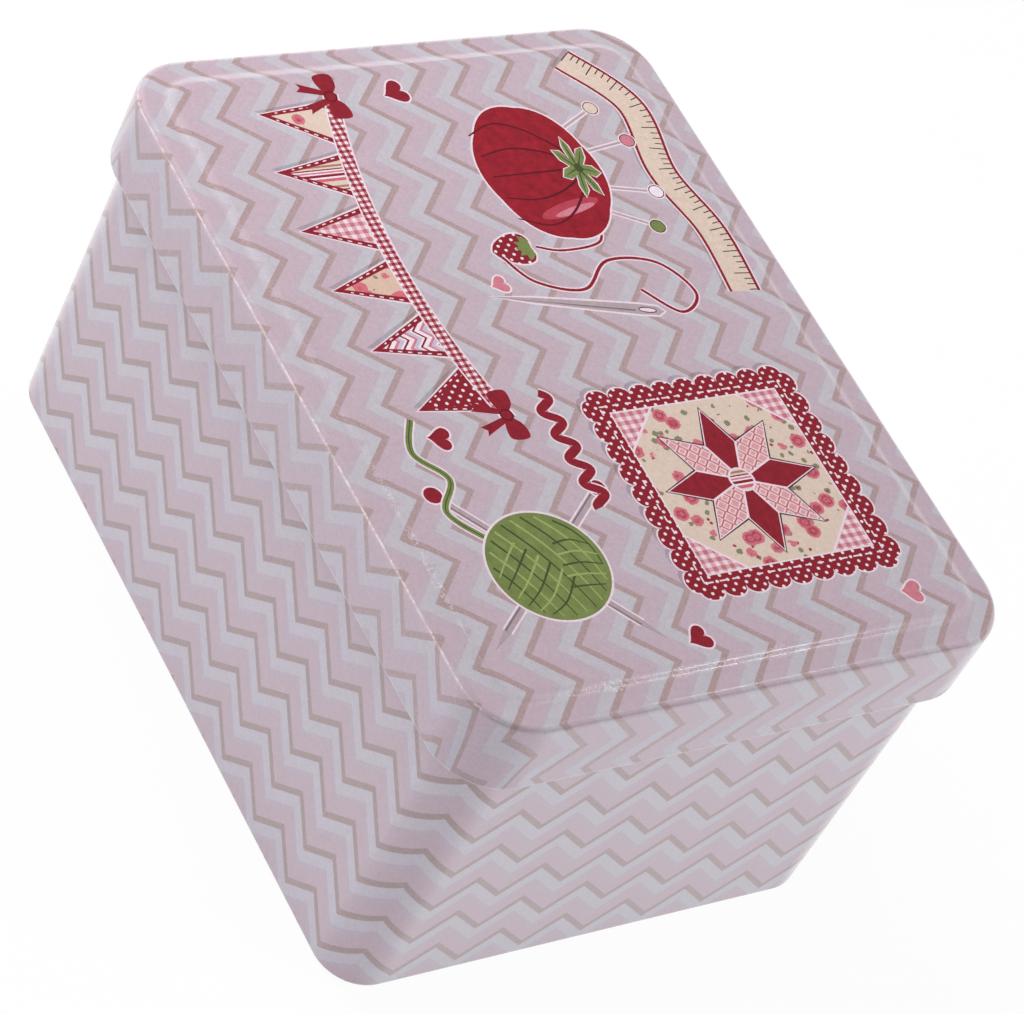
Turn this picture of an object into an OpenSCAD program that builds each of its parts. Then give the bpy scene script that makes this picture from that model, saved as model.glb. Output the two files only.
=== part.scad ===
// Rectangular tinplate box with a slip-on lid, for bobbins and spools of thread.
// Three pressings of thin sheet: the lid, the bent body wall and the base panel folded into its foot.
// Lengths are in millimetres. The box stands on Z = 0, centred on the Z axis, with its long sides along X.

/* [Box] */
// Length over the lid's skirt
lid_l = 141; // [110:1:190]
// Width over the lid's skirt
lid_w = 105; // [80:1:150]
// Height of the lid's border above the standing foot
border_h = 75; // [45:1:130]
// Corner radius of the lid, seen from above
lid_corner_r = 11.5; // [11:0.5:22]
// Thickness of the tinplate
sheet_t = 0.25; // [0.2:0.01:0.32]

/* [Lid] */
// Height of the skirt, from the border down to the hem
skirt_h = 16; // [8:0.1:25]
// Outer radius of the bend between border and skirt
rim_bend_r = 1.5; // [0.7:0.1:2]
// Width of the flat border, from the skirt's face to the foot of the step
border_w = 4; // [3:0.1:5]
// Height of the panel above the border
panel_rise = 0.75; // [0.5:0.05:1.5]
// Width of the step, seen from above
step_w = 2.8; // [1.8:0.1:3.4]
// Outer diameter of the hem, rolled inwards
hem_d = 2.3; // [1.8:0.1:3]
// Gap between the hem and the body wall
slip_gap = 0.6; // [0.3:0.1:1]

/* [Body wall] */
// Outer diameter of the bead along the top edge, rolled inwards
bead_d = 2; // [1.6:0.1:2.6]
// Gap between the bead and the lid's border
seat_gap = 0.2; // [0.1:0.05:0.5]
// Outer radius of the bend between wall and foot
foot_bend_r = 1.1; // [0.7:0.05:1.2]
// Width of the flat foot, from the wall's face to its inner fold
foot_w = 3; // [2.4:0.1:4]
// Width of the lock seam that closes the wall
seam_w = 3.2; // [2.4:0.1:5]
// Distance of the seam from the middle of the back wall
seam_x = 0; // [-40:1:40]
// Plain wall between the ends of the seam and the bead or the base
seam_end = 0.6; // [0.3:0.1:2]

/* [Base] */
// Height of the base above the surface that the box stands on
recess_h = 2.6; // [2.2:0.1:5]
// Outer radius of the bend round the base
base_bend_r = 0.7; // [0.6:0.05:1]
// Distance from the wall's face to the foot of the base's step
base_step_inset = 5; // [4:0.5:6.5]
// Height of the step in the base
base_rise = 0.8; // [0.4:0.05:1.2]
// Width of the step in the base, seen from above
base_step_w = 1.8; // [1.4:0.1:2.4]

/* [Hidden] */
$fn = 48;

print_colour = [0.86, 0.78, 0.83];
wall_colour = [0.82, 0.77, 0.82];
tin_colour = [0.72, 0.73, 0.74];

// The wall stands inside the lid's skirt by the hem and its gap
body_inset = hem_d + slip_gap;
body_l = lid_l - 2 * body_inset;
body_w = lid_w - 2 * body_inset;
body_corner_r = lid_corner_r - body_inset;
// The bead stops under the lid's border, whose underside rests over it
body_h = border_h - sheet_t - seat_gap;
hem_z = border_h - skirt_h;
base_top = recess_h + sheet_t;
// Radius of a fold that closes over one layer of sheet
fold_r = 1.5 * sheet_t;
// How far a rolled edge turns before it ends
roll_turn = 300;
// Greatest turn between two points of a bend
facet_turn = 15;

// The sections of sheet are drawn as a walk along the middle of the sheet. Each move is
// [length, turn, radius]: straight on by the length, then round a bend, to the left when the turn is positive.
// A place on the walk is [x, y, heading]
function ahead(place, length) = place + length * [cos(place[2]), sin(place[2]), 0];
function leftwards(heading) = [-sin(heading), cos(heading)];
function turned(place, turn, radius) =
    let(side = radius * sign(turn), start = [place.x, place.y] + side * leftwards(place[2]))
    concat(start - side * leftwards(place[2] + turn), place[2] + turn);
function bend_places(place, turn, radius) =
    let(count = ceil(abs(turn) / facet_turn))
    [for (i = [1:1:count]) turned(place, i * turn / count, radius)];
function walk(places, moves, i = 0) =
    i == len(moves) ? places
    : let(
        start = ahead(places[len(places) - 1], moves[i][0]),
        straight = moves[i][0] > 0 ? [start] : [],
        round = bend_places(start, moves[i][1], moves[i][2])
    )
    walk(concat(places, straight, round), moves, i + 1);

// Section of a strip of sheet that starts at a place and follows the moves
module strip(start, moves) {
    places = walk([start], moves);
    left = [for (p = places) [p.x, p.y] + sheet_t / 2 * leftwards(p[2])];
    right = [for (p = places) [p.x, p.y] - sheet_t / 2 * leftwards(p[2])];
    polygon(concat(left, [for (i = [len(right) - 1:-1:0]) right[i]]));
}

// Moves of a step pressed in a level sheet: two equal bends, the first to the given side (1 left, -1 right)
function step_moves(rise, run, side) =
    let(slope = 2 * atan(rise / run), radius = run / (2 * sin(slope)))
    [[0, side * slope, radius], [0, -side * slope, radius]];

// Outline of a rounded rectangle about the origin
module round_rect(length, width, corner_r) {
    square([length, width - 2 * corner_r], center = true);
    square([length - 2 * corner_r, width], center = true);
    for (x = [-1, 1], y = [-1, 1])
        translate([x * (length / 2 - corner_r), y * (width / 2 - corner_r)])
            circle(corner_r);
}

// Sweeps a section round a rounded rectangle. In the section X = 0 is the outline,
// inwards is negative X, and Y becomes the height
module sweep(length, width, corner_r) {
    run = [length / 2 - corner_r, width / 2 - corner_r];
    reach = [width / 2, length / 2];
    for (side = [0:3])
        rotate(90 * side)
            translate([-run[side % 2], reach[side % 2], 0])
                rotate([90, 0, 90])
                    linear_extrude(2 * run[side % 2])
                        children();
    for (corner = [0:3])
        rotate(90 * corner)
            translate([run[corner % 2], run[(corner + 1) % 2], 0])
                rotate_extrude(angle = 90)
                    translate([corner_r, 0])
                        children();
}

// Section of the lid, from the edge of the raised panel out over the rim and down to the rolled hem
module lid_section() {
    hem_r = hem_d / 2;
    strip(
        [-border_w - step_w, border_h + panel_rise - sheet_t / 2, 0],
        concat(step_moves(panel_rise, step_w, -1), [
            [border_w - rim_bend_r, -90, rim_bend_r - sheet_t / 2],
            [skirt_h - rim_bend_r - hem_r, -roll_turn, hem_r - sheet_t / 2]
        ])
    );
}

module lid() {
    panel_inset = border_w + step_w;
    color(print_colour) {
        sweep(lid_l, lid_w, lid_corner_r)
            lid_section();
        translate([0, 0, border_h + panel_rise - sheet_t])
            linear_extrude(sheet_t)
                round_rect(lid_l - 2 * panel_inset, lid_w - 2 * panel_inset, lid_corner_r - panel_inset);
    }
}

// Section of the body wall, from the end of the rolled bead down to the foot,
// which turns in flat and folds back over the base's flange
module wall_section() {
    bead_r = bead_d / 2;
    middle_r = bead_r - sheet_t / 2;
    foot_run = foot_w - fold_r - foot_bend_r;
    strip(
        [middle_r * cos(roll_turn) - bead_r, body_h - bead_r + middle_r * sin(roll_turn), roll_turn - 90],
        [
            [0, -roll_turn, middle_r],
            [body_h - bead_r - foot_bend_r, -90, foot_bend_r - sheet_t / 2],
            [foot_run, -180, sheet_t],
            [foot_run - sheet_t, 0, 0]
        ]
    );
}

// Places of the two folds of the lock seam, along the wall
seam_folds = [fold_r - seam_w / 2, seam_w / 2 - fold_r];
// The joggle takes the near sheet behind the other three layers
joggle_depth = 3 * sheet_t;
joggle_w = 4 * sheet_t;

// Plan of the lock seam: X runs along the wall, Y = 0 is its outer face and inwards is negative.
// The far sheet stays flush and hooks back at its end. The near sheet dives behind it and hooks into it
module seam_plan() {
    hook = seam_folds[1] - seam_folds[0];
    lead = 1;
    strip([seam_folds[1], -sheet_t / 2, 180], [[hook, 180, sheet_t], [hook, 0, 0]]);
    strip(
        [seam_folds[0] - joggle_w - lead, -sheet_t / 2, 0],
        concat([[lead, 0, 0]], step_moves(joggle_depth, joggle_w, -1), [[hook, 180, sheet_t], [hook, 0, 0]])
    );
}

module body_wall() {
    seam_bottom = base_top + seam_end;
    seam_height = body_h - bead_d - seam_end - seam_bottom;
    color(wall_colour) {
        difference() {
            sweep(body_l, body_w, body_corner_r)
                wall_section();
            translate([seam_x + seam_folds[0] - joggle_w, body_w / 2 - 2 * sheet_t, seam_bottom])
                cube([joggle_w, 3 * sheet_t, seam_height]);
        }
        translate([seam_x, body_w / 2, seam_bottom])
            linear_extrude(seam_height)
                seam_plan();
    }
}

// Section of the base, from the flange held in the foot's fold, up its edge and in to its raised panel
module base_section() {
    strip(
        [fold_r - foot_w, fold_r, 0],
        concat([
            [foot_w - fold_r - foot_bend_r, 90, foot_bend_r - fold_r],
            [base_top - base_bend_r - foot_bend_r, 90, base_bend_r - sheet_t / 2],
            [base_step_inset - sheet_t - base_bend_r, 0, 0]
        ], step_moves(base_rise, base_step_w, -1))
    );
}

module base_panel() {
    panel_inset = base_step_inset + base_step_w;
    color(tin_colour) {
        sweep(body_l, body_w, body_corner_r)
            base_section();
        translate([0, 0, recess_h + base_rise])
            linear_extrude(sheet_t)
                round_rect(body_l - 2 * panel_inset, body_w - 2 * panel_inset, body_corner_r - panel_inset);
    }
}

lid();
body_wall();
base_panel();
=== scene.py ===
"""Printed tinplate bobbin box with a slip-on lid: its looks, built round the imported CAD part."""

from math import atan, atan2, ceil, copysign, cos, degrees, hypot, pi, radians, sin, sqrt

import bpy
import numpy as np
from mathutils import Matrix, Vector
from mathutils.geometry import delaunay_2d_cdt


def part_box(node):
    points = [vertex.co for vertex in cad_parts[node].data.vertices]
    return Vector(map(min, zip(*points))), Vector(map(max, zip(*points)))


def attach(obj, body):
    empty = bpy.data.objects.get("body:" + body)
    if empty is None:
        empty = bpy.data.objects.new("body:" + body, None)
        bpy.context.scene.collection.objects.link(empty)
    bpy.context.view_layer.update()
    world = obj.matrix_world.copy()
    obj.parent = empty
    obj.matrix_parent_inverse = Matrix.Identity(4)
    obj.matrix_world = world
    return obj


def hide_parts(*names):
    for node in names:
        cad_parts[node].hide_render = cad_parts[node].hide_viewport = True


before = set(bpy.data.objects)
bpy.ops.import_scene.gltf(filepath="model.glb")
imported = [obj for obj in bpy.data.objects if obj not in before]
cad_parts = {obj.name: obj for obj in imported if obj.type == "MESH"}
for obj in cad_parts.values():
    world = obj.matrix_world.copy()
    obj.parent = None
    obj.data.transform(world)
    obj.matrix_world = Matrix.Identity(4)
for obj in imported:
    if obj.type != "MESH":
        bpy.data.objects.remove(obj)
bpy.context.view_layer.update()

MM = 0.001

# The part's sizes in millimetres: the outer ones come from the CAD nodes, the sheet's details repeat the source
lid_low, lid_high = (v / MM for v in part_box("lid"))
wall_low, wall_high = (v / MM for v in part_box("body_wall"))
SHEET = 0.25
LID_CORNER = 11.5
RIM_BEND = 1.5
BORDER = 4.0
PANEL_RISE = 0.75
STEP = 2.8
HEM = 2.3
BEAD = 2.0
FOOT_BEND = 1.1
FOOT = 3.0
SEAM = 3.2
BASE_TOP = 2.85
SEAM_END = 0.6
LID_L = lid_high.x - lid_low.x
LID_W = lid_high.y - lid_low.y
BORDER_Z = lid_high.z - PANEL_RISE
SKIRT = BORDER_Z - lid_low.z
WALL_L = wall_high.x - wall_low.x
WALL_W = wall_high.y - wall_low.y
WALL_CORNER = LID_CORNER - (LID_L - WALL_L) / 2
WALL_H = wall_high.z
FOLD = 1.5 * SHEET
ROLL_TURN = 300
PANEL_INSET = BORDER + STEP
SEAM_LOW = BASE_TOP + SEAM_END
SEAM_HIGH = WALL_H - BEAD - SEAM_END

# The first two material slots of both finer meshes: the printed face and the bare inside
PRINT, TIN = 0, 1

# How finely the sheet's curves are drawn: degrees in a bend, millimetres along a straight, steps round a corner
FACET = 7.5
RUN_STEP = 1.6
CORNER_STEPS = 18

# The printed zigzag in millimetres: one repeat along the lines, the rise of a line, the distance of the rows,
# and where a trough lies on the lid (x, y) and on the wall (along the front from the middle, height)
REPEAT = 12.57
LID_ROWS = 9.32
LID_RISE = 6.34
LID_ORIGIN = (6.73, 7.18)
WALL_REPEAT = 12.64
WALL_ROWS = 9.40
WALL_RISE = 6.17
WALL_ORIGIN = (8.72, 3.96)
# The print sits a little askew on the sheet: degrees on the lid, fall per millimetre along the wall
LID_TURN = 0.26
WALL_FALL = 0.0068
# Across a row, from the middle of its tan line: where tan, pink, lilac and pale end, and how soft their edges are
TAN_TO, PINK_TO, LILAC_TO, PALE_TO = 0.082, 0.45, 0.60, 0.915
LILAC_FADE = 0.05
EDGE_BLUR = 0.012
# Drawing the lid pulls the print on its skirt longer, and less so at its corners. Bending stretches the print on
# the wall's corners, and on its short sides a little
SKIRT_PULL = 1.044
CORNER_DRAW = 0.6
CORNER_PULL = 1.158
SIDE_PULL = 1.012
# Painted shade: below the rim's bend the lid's print is made a little cooler and darker, for the light on the
# upright skirt: its tint, where it starts and over how many millimetres
SKIRT_SHADE = (0.945, 0.945, 0.99, 1.0)
SKIRT_SHADE_RUN = 0.6
SKIRT_SHADE_FADE = 1.2
# Painted glints on the lid's step, in the thin curls of crazed lacquer. They lie this far in from the outline, in
# millimetres, round the places where they show, each with its centre and radius in metres and its share
GLINT_RUN = 5.3
GLINT_PLACES = (((0.065, -0.011, 0.0755), 0.024, 1.0), ((0.033, -0.047, 0.0755), 0.017, 0.75))
# A painted highlight line along the rim's bend: where it runs and half its width, in millimetres from the outline
# of the blank, and the y below which it is strong
RIM_HIGHLIGHT = -0.13
RIM_HIGHLIGHT_HALF = 0.13
RIM_HIGHLIGHT_TO = -49.0
# How strong each painted highlight is: the glints on the step, the line all round the rim, and what is added to it
# at the front
GLINT_SHARE = 0.5
RIM_HIGHLIGHT_SHARE = 0.1
FRONT_HIGHLIGHT_SHARE = 0.5


def srgb(red, green, blue):
    """A colour given as it looks on a screen, 0 to 255, as linear RGBA"""
    def linear(c):
        c /= 255
        return c / 12.92 if c <= 0.04045 else ((c + 0.055) / 1.055) ** 2.4
    return (linear(red), linear(green), linear(blue), 1.0)


def add_object(name, data):
    obj = bpy.data.objects.new(name, data)
    bpy.context.scene.collection.objects.link(obj)
    return obj


# ------------ sheet sections

def walk(start, moves):
    """Places (x, z, heading) along the middle of a sheet. A move is (length, turn, radius), left turns positive"""
    places = [start]
    for length, turn, radius in moves:
        x, z, heading = places[-1]
        a = radians(heading)
        steps = ceil(length / RUN_STEP) if length > 0 else 0
        for i in range(1, steps + 1):
            d = length * i / steps
            places.append((x + d * cos(a), z + d * sin(a), heading))
        x, z, heading = places[-1]
        side = copysign(radius, turn)
        centre = (x - side * sin(a), z + side * cos(a))
        steps = ceil(abs(turn) / FACET)
        for i in range(1, steps + 1):
            h = heading + turn * i / steps
            b = radians(h)
            places.append((centre[0] + side * sin(b), centre[1] - side * cos(b), h))
    return places


def step_moves(rise, run, side):
    slope = 2 * degrees(atan(rise / run))
    radius = run / (2 * sin(radians(slope)))
    return [(0, side * slope, radius), (0, -side * slope, radius)]


def lid_places():
    hem_r = HEM / 2
    return walk(
        (-PANEL_INSET, BORDER_Z + PANEL_RISE - SHEET / 2, 0),
        step_moves(PANEL_RISE, STEP, -1) + [
            (BORDER - RIM_BEND, -90, RIM_BEND - SHEET / 2),
            (SKIRT - RIM_BEND - hem_r, -ROLL_TURN, hem_r - SHEET / 2),
        ])


def wall_places():
    bead_r = BEAD / 2
    middle_r = bead_r - SHEET / 2
    foot_run = FOOT - FOLD - FOOT_BEND
    a = radians(ROLL_TURN)
    return walk(
        (middle_r * cos(a) - bead_r, WALL_H - bead_r + middle_r * sin(a), ROLL_TURN - 90),
        [
            (0, -ROLL_TURN, middle_r),
            (WALL_H - bead_r - SEAM_HIGH, 0, 0),
            (SEAM_HIGH - SEAM_LOW, 0, 0),
            (SEAM_LOW - FOOT_BEND, -90, FOOT_BEND - SHEET / 2),
            (foot_run, -180, SHEET),
            (foot_run - SHEET, 0, 0),
        ])


def faces_of(places):
    """Both faces of the sheet: for each, its points (x, z) and normals (x, z); the left face comes first"""
    left, right = [], []
    for x, z, heading in places:
        a = radians(heading)
        n = (-sin(a), cos(a))
        left.append((x + SHEET / 2 * n[0], z + SHEET / 2 * n[1], n[0], n[1]))
        right.append((x - SHEET / 2 * n[0], z - SHEET / 2 * n[1], -n[0], -n[1]))
    return left, right


def runs_of(places):
    """Length along the middle of the sheet up to each place"""
    runs = [0.0]
    for a, b in zip(places, places[1:]):
        runs.append(runs[-1] + hypot(b[0] - a[0], b[1] - a[1]))
    return runs


def stations(length, width, corner_r, seam=()):
    """Places round a rounded rectangle, anticlockwise from +X: centre x, y, outward normal x, y, and share of
    its corner. Straight sides are the spans between corners. The seam's places (x, share) lie along the back"""
    out = []
    for corner in range(4):
        cx = (length / 2 - corner_r) * (1, -1, -1, 1)[corner]
        cy = (width / 2 - corner_r) * (1, 1, -1, -1)[corner]
        for i in range(CORNER_STEPS + 1):
            a = radians(90 * (corner + i / CORNER_STEPS))
            out.append((cx, cy, cos(a), sin(a), i / CORNER_STEPS))
        if corner == 0:
            out += [(x, cy, 0.0, 1.0, share) for x, share in seam]
    return out


class Shell:
    """A mesh in the making: vertices in millimetres with normals, print coordinates and the run across the sheet"""

    def __init__(self):
        self.points, self.normals, self.prints, self.runs = [], [], [], []
        self.faces, self.kinds = [], []

    def vertex(self, point, normal, mark, run):
        self.points.append(point)
        self.normals.append(normal)
        self.prints.append(mark)
        self.runs.append((run, 0.0))
        return len(self.points) - 1

    def face(self, corners, kind):
        if len(set(corners)) >= 3:
            self.faces.append(corners)
            self.kinds.append(kind)

    def circle(self, point, ring, corner_r, marks, run):
        """The vertices where a point of the section, with its normal, meets each station of the ring"""
        x, z, nx, nz = point
        reach = corner_r + x
        return [self.vertex((s[0] + s[2] * reach, s[1] + s[3] * reach, z), (s[2] * nx, s[3] * nx, nz), mark, run)
                for s, mark in zip(ring, marks)]

    def band(self, lower, upper, kind, gaps=()):
        """Faces between two closed rings of vertices. The places in gaps are left open"""
        n = len(lower)
        for i in range(n):
            j = (i + 1) % n
            if i not in gaps:
                self.face((lower[i], lower[j], upper[j], upper[i]), kind)

    def build(self, name, materials):
        mesh = bpy.data.meshes.new(name)
        mesh.from_pydata([Vector(p) * MM for p in self.points], [], self.faces)
        for title, values in (("print", self.prints), ("run", self.runs)):
            layer = mesh.uv_layers.new(name=title)
            for loop in mesh.loops:
                layer.data[loop.index].uv = values[loop.vertex_index]
        for material in materials:
            mesh.materials.append(material)
        for polygon, kind in zip(mesh.polygons, self.kinds):
            polygon.material_index = kind
            polygon.use_smooth = True
        mesh.normals_split_custom_set_from_vertices([Vector(n).normalized() for n in self.normals])
        return add_object(name, mesh)


# ------------ node helpers

class Graph:
    """Builds the nodes of a new material or world with short calls. Inputs are sockets or plain values"""

    def __init__(self, name, kind="materials"):
        self.owner = getattr(bpy.data, kind).new(name)
        self.owner.use_nodes = True
        self.tree = self.owner.node_tree

    def node(self, kind, inputs=None, **settings):
        node = self.tree.nodes.new(kind)
        for key, value in settings.items():
            setattr(node, key, value)
        for key, value in (inputs or {}).items():
            self.put(node.inputs[key], value)
        return node

    def put(self, socket, value):
        if isinstance(value, bpy.types.NodeSocket):
            self.tree.links.new(value, socket)
        else:
            socket.default_value = value

    def math(self, operation, *values):
        node = self.tree.nodes.new("ShaderNodeMath")
        node.operation = operation
        for i, value in enumerate(values):
            self.put(node.inputs[i], value)
        return node.outputs[0]

    def mix(self, factor, a, b, blend="MIX"):
        node = self.node("ShaderNodeMix", data_type="RGBA", blend_type=blend)
        self.put(node.inputs[0], factor)
        self.put(node.inputs[6], a)
        self.put(node.inputs[7], b)
        return node.outputs[2]

    def ramp(self, factor, stops, interpolation="LINEAR"):
        node = self.node("ShaderNodeValToRGB", {0: factor})
        node.color_ramp.interpolation = interpolation
        elements = node.color_ramp.elements
        while len(elements) > 1:
            elements.remove(elements[-1])
        elements[0].position, elements[0].color = stops[0]
        for position, colour in stops[1:]:
            elements.new(position).color = colour
        return node.outputs[0]

    def place(self):
        """The point on the object, in metres"""
        return self.node("ShaderNodeTexCoord").outputs["Object"]

    def map_parts(self, name):
        """The parts x, y and z of a UV map"""
        uv = self.node("ShaderNodeUVMap", uv_map=name).outputs[0]
        return self.node("ShaderNodeSeparateXYZ", {0: uv}).outputs

    def millimetres(self):
        """Its x and y in millimetres"""
        parts = self.node("ShaderNodeSeparateXYZ", {0: self.place()}).outputs
        return self.math("MULTIPLY", parts[0], 1 / MM), self.math("MULTIPLY", parts[1], 1 / MM)

    def noise(self, scale, detail=2.0, roughness=0.5, vector=None):
        node = self.node("ShaderNodeTexNoise", {
            "Vector": vector or self.place(), "Scale": scale, "Detail": detail, "Roughness": roughness})
        return node.outputs[0]

    def bump(self, height, strength, distance):
        node = self.node("ShaderNodeBump", {"Height": height, "Strength": strength, "Distance": distance})
        return node.outputs[0]

    def through(self, value, pitch):
        """How far a value is through its repeat, 0 to 1"""
        return self.math("FRACT", self.math("DIVIDE", value, pitch))

    def off(self, value, middle):
        """How far a value is from the middle, either way"""
        return self.math("ABSOLUTE", self.math("SUBTRACT", value, middle))

    def below(self, value, edge, blur):
        """1 below the edge and 0 above it, with a soft change between"""
        step = self.math("ADD", self.math("DIVIDE", self.math("SUBTRACT", edge, value), blur), 0.5)
        return self.node("ShaderNodeClamp", {0: step}).outputs[0]

    def finish(self, **sockets):
        shader = self.tree.nodes["Principled BSDF"]
        for key, value in sockets.items():
            self.put(shader.inputs[key.replace("_", " ")], value)
        return self.owner


def grey(value):
    return (value, value, value, 1.0)


def scaled(colour, share):
    """A colour made darker or lighter"""
    return tuple(min(1.0, c * share) for c in colour[:3]) + (1.0,)


# ------------ materials

# How the print and the inks over it are finished: metallic share, specular level and weight of the clear coat
PRINT_FINISH = (0.25, 0.5, 1.0)
INK_FINISH = (0.08, 0.2, 0.3)
# Colour of the painted glints and the painted highlight line
HIGHLIGHT_WHITE = srgb(248, 240, 242)


def paint_highlights(graph, colour):
    """Paints glints along the lid's step round its given places, in the thin curls of crazed lacquer, and a thin
    highlight line along the rim's bend, strongest at the front
    """
    run = graph.map_parts("run")[0]
    near = None
    for place, radius, share in GLINT_PLACES:
        far = graph.node("ShaderNodeVectorMath", {0: graph.place(), 1: place}, operation="DISTANCE").outputs["Value"]
        spot = graph.math("MULTIPLY", graph.below(far, radius, 0.6 * radius), share)
        near = graph.math("MAXIMUM", near, spot) if near else spot
    # Uneven patches of a band of painted glints, and in them the thin curls where a cloudy noise passes its middle
    reach = graph.math("MULTIPLY", near, graph.math("MULTIPLY_ADD", graph.noise(240), 2.6, -0.65))
    glint_band = graph.below(graph.off(run, -GLINT_RUN), reach, 0.3)
    curls = graph.below(graph.off(graph.noise(1000, 2.0, 0.6), 0.5), 0.022, 0.016)
    specks = graph.math("MULTIPLY", graph.math("MULTIPLY", curls, glint_band), GLINT_SHARE)
    # The painted highlight line is broken up by noise, and faint away from the front
    front = graph.below(graph.millimetres()[1], RIM_HIGHLIGHT_TO, 3.0)
    strength = graph.math("MULTIPLY_ADD", front, FRONT_HIGHLIGHT_SHARE, RIM_HIGHLIGHT_SHARE)
    broken = graph.ramp(graph.noise(700, 3.0, 0.8), [(0.44, grey(0.1)), (0.6, grey(1.0))])
    rim_glow = graph.math("MULTIPLY", graph.below(graph.off(run, RIM_HIGHLIGHT), RIM_HIGHLIGHT_HALF, 0.1), broken)
    return graph.mix(graph.math("MAXIMUM", specks, graph.math("MULTIPLY", rim_glow, strength)), colour, HIGHLIGHT_WHITE)


def shade_skirt(graph, colour):
    """Painted shade: cools and darkens the lid's print a little from the rim's bend down, as on the wall under it"""
    panel_side = graph.below(graph.map_parts("run")[0], SKIRT_SHADE_RUN, SKIRT_SHADE_FADE)
    return graph.mix(panel_side, graph.mix(1.0, colour, SKIRT_SHADE, "MULTIPLY"), colour)


def lacquered(graph, colour, finish, painted_highlights=False):
    """Finishes a print: cloudy ink on tinplate under a clear lacquer, with painted glints and a painted highlight
    line if asked
    """
    metallic, gloss, coat = finish
    blotches = graph.noise(1300, 3.0, 0.6)
    grain = graph.noise(3400, 2.0, 0.7)
    strength = graph.math("ADD", graph.math("MULTIPLY", blotches, 0.4), graph.math("MULTIPLY", grain, 0.6))
    toned = graph.mix(1.0, colour, graph.ramp(strength, [(0.32, grey(0.84)), (0.68, grey(1.04))]), "MULTIPLY")
    # Painted glints on the step and a painted highlight line on the rim, over the print
    if painted_highlights:
        toned = paint_highlights(graph, toned)
    return graph.finish(
        Base_Color=toned, Metallic=metallic, Specular_IOR_Level=gloss,
        Roughness=graph.math("MULTIPLY_ADD", blotches, 0.16, 0.3),
        Normal=graph.bump(graph.noise(700), 0.12, 0.0002),
        Coat_Weight=coat, Coat_Roughness=0.1, Coat_IOR=1.5)


def zigzag_print(name, rise_share, tones, on_lid=False):
    """The printed rows of zigzags. The print map counts repeats along the rows and rows across them. The lid's is
    cooler and a little darker on the skirt, a painted shade, and has painted glints and a painted highlight line"""
    graph = Graph(name)
    tan, pink, lilac, pale = tones
    mark = graph.map_parts("print")
    fold = graph.math("PINGPONG", mark[0], 0.5)
    line = graph.math("SUBTRACT", mark[1], graph.math("MULTIPLY", fold, 2 * rise_share))
    phase = graph.math("FRACT", line)
    rows = graph.ramp(phase, [
        (0.0, tan), (TAN_TO - EDGE_BLUR, tan), (TAN_TO + EDGE_BLUR, pink),
        (PINK_TO - LILAC_FADE, pink), (PINK_TO + LILAC_FADE, lilac),
        (LILAC_TO - EDGE_BLUR, lilac), (LILAC_TO + EDGE_BLUR, pale),
        (PALE_TO - EDGE_BLUR, pale), (PALE_TO + EDGE_BLUR, tan)])
    is_tan = graph.ramp(phase, [
        (0.0, grey(1.0)), (TAN_TO - EDGE_BLUR, grey(1.0)), (TAN_TO + EDGE_BLUR, grey(0.0)),
        (PALE_TO - EDGE_BLUR, grey(0.0)), (PALE_TO + EDGE_BLUR, grey(1.0))])
    flecks = graph.ramp(graph.noise(2600, 3.0, 0.75), [(0.36, grey(0.88)), (0.66, grey(1.08))])
    colour = graph.mix(is_tan, rows, graph.mix(1.0, rows, flecks, "MULTIPLY"))
    # On the lid, painted shade on the skirt
    if on_lid:
        colour = shade_skirt(graph, colour)
    return lacquered(graph, colour, PRINT_FINISH, on_lid)


def bare_tin(name):
    """Bright tinplate with rolling lines and faint crystals"""
    graph = Graph(name)
    along = graph.node("ShaderNodeMapping", {"Vector": graph.place(), "Scale": (60, 2500, 60)}).outputs[0]
    lines = graph.noise(1.0, 3.0, 0.6, along)
    crystals = graph.node("ShaderNodeTexVoronoi", {"Vector": graph.place(), "Scale": 180.0}).outputs["Color"]
    tone = graph.ramp(lines, [(0.25, srgb(192, 194, 196)), (0.75, srgb(218, 219, 220))])
    tone = graph.mix(0.08, tone, crystals, "SOFT_LIGHT")
    dull = graph.math("MULTIPLY_ADD", graph.noise(90, 3.0), 0.2, 0.28)
    return graph.finish(Base_Color=tone, Roughness=dull, Metallic=0.9,
                        Normal=graph.bump(lines, 0.08, 0.0001))


def ink(name, paint):
    """A printed ink: paint(graph, x, y) gives its colour"""
    graph = Graph(name)
    return lacquered(graph, paint(graph, *graph.millimetres()), INK_FINISH)


def plain(colour, depth=0.12, scale=900.0):
    """One ink with cloudy strength"""
    def paint(graph, x, y):
        cloud = graph.noise(scale, 3.0, 0.65)
        return graph.ramp(cloud, [(0.3, scaled(colour, 1 - depth)), (0.7, scaled(colour, 1 + depth))])
    return paint


def polka(ground, dot, pitch, radius):
    """Dots on a lattice that stands on its corner"""
    def paint(graph, x, y):
        du = graph.math("SUBTRACT", graph.through(graph.math("ADD", x, y), pitch), 0.5)
        dv = graph.math("SUBTRACT", graph.through(graph.math("SUBTRACT", x, y), pitch), 0.5)
        d = graph.math("SQRT", graph.math("ADD", graph.math("MULTIPLY", du, du), graph.math("MULTIPLY", dv, dv)))
        return graph.mix(graph.below(d, radius, 0.06), ground, dot)
    return paint


def gingham(pale, middle, deep, pitch):
    """Woven checks"""
    def paint(graph, x, y):
        a = graph.math("LESS_THAN", graph.through(x, pitch), 0.5)
        b = graph.math("LESS_THAN", graph.through(y, pitch), 0.5)
        return graph.ramp(graph.math("MULTIPLY", graph.math("ADD", a, b), 0.45),
                          [(0.0, pale), (0.3, middle), (0.7, deep)], "CONSTANT")
    return paint


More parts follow.
